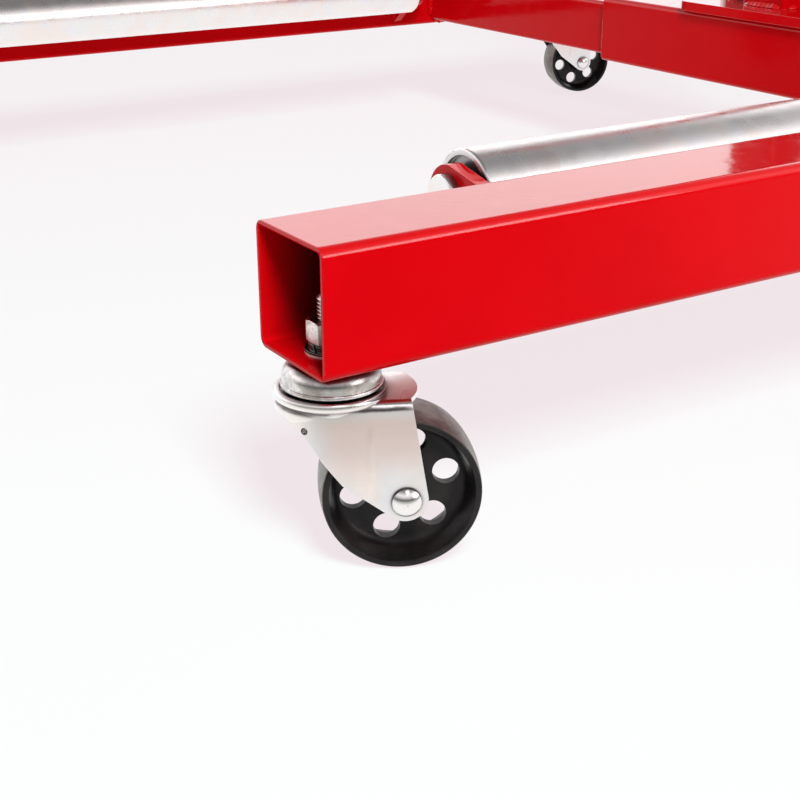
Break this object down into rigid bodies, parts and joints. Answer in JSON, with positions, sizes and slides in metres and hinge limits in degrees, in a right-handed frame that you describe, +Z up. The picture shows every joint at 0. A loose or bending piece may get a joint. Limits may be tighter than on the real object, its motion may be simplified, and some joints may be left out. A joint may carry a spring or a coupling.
{
  "type": "hydraulic truck wheel dolly",
  "caption": "Low U-shaped wheel dolly on swivel casters: a ram draws a roller leg toward its twin to lift a truck tyre; mast with push handle, retaining arm and chain.",
  "frame": {"origin": "on the floor, under the middle of the bounding box with the sliding leg fully open", "axes": "+X from the open front ends of the legs toward the mast and push handle, +Y from the fixed leg toward the sliding leg, +Z up"},
  "size_m": [0.9358, 0.9974, 0.855],
  "materials": {
    "red_paint": "gloss",
    "black_paint": "satin",
    "zinc_plate": "bright zinc",
    "washer_steel": "satin",
    "ball_steel": "polished",
    "rod_chrome": "polished",
    "wheel_iron": "satin",
    "nylon": "matte",
    "black_rubber": "matte",
    "knob_plastic": "matte"
  },
  "bodies": {
    "frame": {"fixed_leg": "red_paint", "cross_sleeves": "red_paint", "sleeve_pads": "nylon", "deck": "red_paint", "mast_tube": "red_paint", "push_handle": "black_paint", "handle_grips": "black_rubber", "fixed_roller_brackets": "red_paint", "fixed_roller_shaft": "zinc_plate", "fixed_caster_seats": "zinc_plate", "fixed_caster_stems": "zinc_plate", "fixed_stem_washers": "washer_steel", "fixed_stem_nuts": "zinc_plate", "ram_barrel": "black_paint", "ram_gland": "zinc_plate", "ram_base_pin": "zinc_plate", "pump_body": "black_paint", "oil_tank": "black_paint", "pump_bolts": "zinc_plate", "pedal_pin": "zinc_plate", "hose_fittings": "zinc_plate", "hydraulic_hose": "black_rubber"},
    "sliding_side": {"sliding_leg": "red_paint", "inner_cross_tubes": "red_paint", "inner_tube_pads": "nylon", "sliding_roller_brackets": "red_paint", "sliding_roller_shaft": "zinc_plate", "sliding_caster_seats": "zinc_plate", "sliding_caster_stems": "zinc_plate", "sliding_stem_washers": "washer_steel", "sliding_stem_nuts": "zinc_plate", "ram_rod": "rod_chrome", "ram_rod_pin": "zinc_plate"},
    "fixed_roller_body": {"fixed_roller": "zinc_plate"},
    "sliding_roller_body": {"sliding_roller": "zinc_plate"},
    "front_fixed_fork": {"front_fixed_yoke": "zinc_plate", "front_fixed_balls": "ball_steel", "front_fixed_axle": "zinc_plate"},
    "front_fixed_wheel_body": {"front_fixed_wheel": "wheel_iron"},
    "rear_fixed_fork": {"rear_fixed_yoke": "zinc_plate", "rear_fixed_balls": "ball_steel", "rear_fixed_axle": "zinc_plate"},
    "rear_fixed_wheel_body": {"rear_fixed_wheel": "wheel_iron"},
    "front_sliding_fork": {"front_sliding_yoke": "zinc_plate", "front_sliding_balls": "ball_steel", "front_sliding_axle": "zinc_plate"},
    "front_sliding_wheel_body": {"front_sliding_wheel": "wheel_iron"},
    "rear_sliding_fork": {"rear_sliding_yoke": "zinc_plate", "rear_sliding_balls": "ball_steel", "rear_sliding_axle": "zinc_plate"},
    "rear_sliding_wheel_body": {"rear_sliding_wheel": "wheel_iron"},
    "pedal": {"foot_pedal": "black_paint", "pedal_pad": "black_rubber"},
    "plunger": {"pump_plunger": "rod_chrome"},
    "valve": {"release_valve": "knob_plastic"},
    "mast_slide_body": {"inner_mast": "red_paint", "arm_pad": "black_rubber"},
    "clamp": {"clamp_screw": "zinc_plate"},
    "chain": {"safety_chain": "zinc_plate", "chain_hook": "zinc_plate"}
  },
  "joints": [
    {"name": "leg_slide", "type": "slide", "parent": "frame", "child": "sliding_side", "axis": [0, -1, 0], "range_m": [0, 0.27]},
    {"name": "fixed_roller_spin", "type": "hinge", "parent": "frame", "child": "fixed_roller_body", "pos_m": [-0.33105, -0.391, 0.146], "axis": [1, 0, 0], "continuous": true},
    {"name": "sliding_roller_spin", "type": "hinge", "parent": "sliding_side", "child": "sliding_roller_body", "pos_m": [-0.33105, 0.391, 0.146], "axis": [1, 0, 0], "continuous": true},
    {"name": "front_fixed_swivel", "type": "hinge", "parent": "frame", "child": "front_fixed_fork", "pos_m": [-0.44105, -0.455, 0.102], "axis": [0, 0, 1], "continuous": true},
    {"name": "front_fixed_spin", "type": "hinge", "parent": "front_fixed_fork", "child": "front_fixed_wheel_body", "pos_m": [-0.41375, -0.46837, 0.038], "axis": [0.4399, 0.898, 0], "continuous": true},
    {"name": "rear_fixed_swivel", "type": "hinge", "parent": "frame", "child": "rear_fixed_fork", "pos_m": [0.39895, -0.455, 0.102], "axis": [0, 0, 1], "continuous": true},
    {"name": "rear_fixed_spin", "type": "hinge", "parent": "rear_fixed_fork", "child": "rear_fixed_wheel_body", "pos_m": [0.42898, -0.45024, 0.038], "axis": [-0.1564, 0.9877, 0], "continuous": true},
    {"name": "front_sliding_swivel", "type": "hinge", "parent": "sliding_side", "child": "front_sliding_fork", "pos_m": [-0.44105, 0.455, 0.102], "axis": [0, 0, 1], "continuous": true},
    {"name": "front_sliding_spin", "type": "hinge", "parent": "front_sliding_fork", "child": "front_sliding_wheel_body", "pos_m": [-0.41375, 0.46837, 0.038], "axis": [-0.4399, 0.898, 0], "continuous": true},
    {"name": "rear_sliding_swivel", "type": "hinge", "parent": "sliding_side", "child": "rear_sliding_fork", "pos_m": [0.39895, 0.455, 0.102], "axis": [0, 0, 1], "continuous": true},
    {"name": "rear_sliding_spin", "type": "hinge", "parent": "rear_sliding_fork", "child": "rear_sliding_wheel_body", "pos_m": [0.42802, 0.44611, 0.038], "axis": [0.2924, 0.9563, 0], "continuous": true},
    {"name": "pedal_pump", "type": "hinge", "parent": "frame", "child": "pedal", "pos_m": [0.26895, -0.285, 0.262], "axis": [0, 1, 0], "range_deg": [0, 22], "stiffness_Nm_per_rad": 4, "springref_deg": -22.92},
    {"name": "plunger_stroke", "type": "slide", "parent": "frame", "child": "plunger", "axis": [0, 0, -1], "range_m": [0, 0.0142]},
    {"name": "release_turn", "type": "hinge", "parent": "frame", "child": "valve", "pos_m": [0.32595, -0.297, 0.201], "axis": [1, 0, 0], "range_deg": [0, 180]},
    {"name": "arm_height", "type": "slide", "parent": "frame", "child": "mast_slide_body", "axis": [0, 0, 1], "range_m": [0, 0.22]},
    {"name": "clamp_turn", "type": "hinge", "parent": "frame", "child": "clamp", "pos_m": [0.28695, -0.07, 0.694], "axis": [1, 0, 0], "range_deg": [0, 540]},
    {"name": "chain_swing", "type": "hinge", "parent": "frame", "child": "chain", "pos_m": [0.23695, -0.106, 0.591], "axis": [0, 1, 0], "range_deg": [-30, 30]}
  ],
  "couplings": [
    {"joint": "plunger_stroke", "follows": "pedal_pump", "m_per_rad": 0.036}
  ]
}
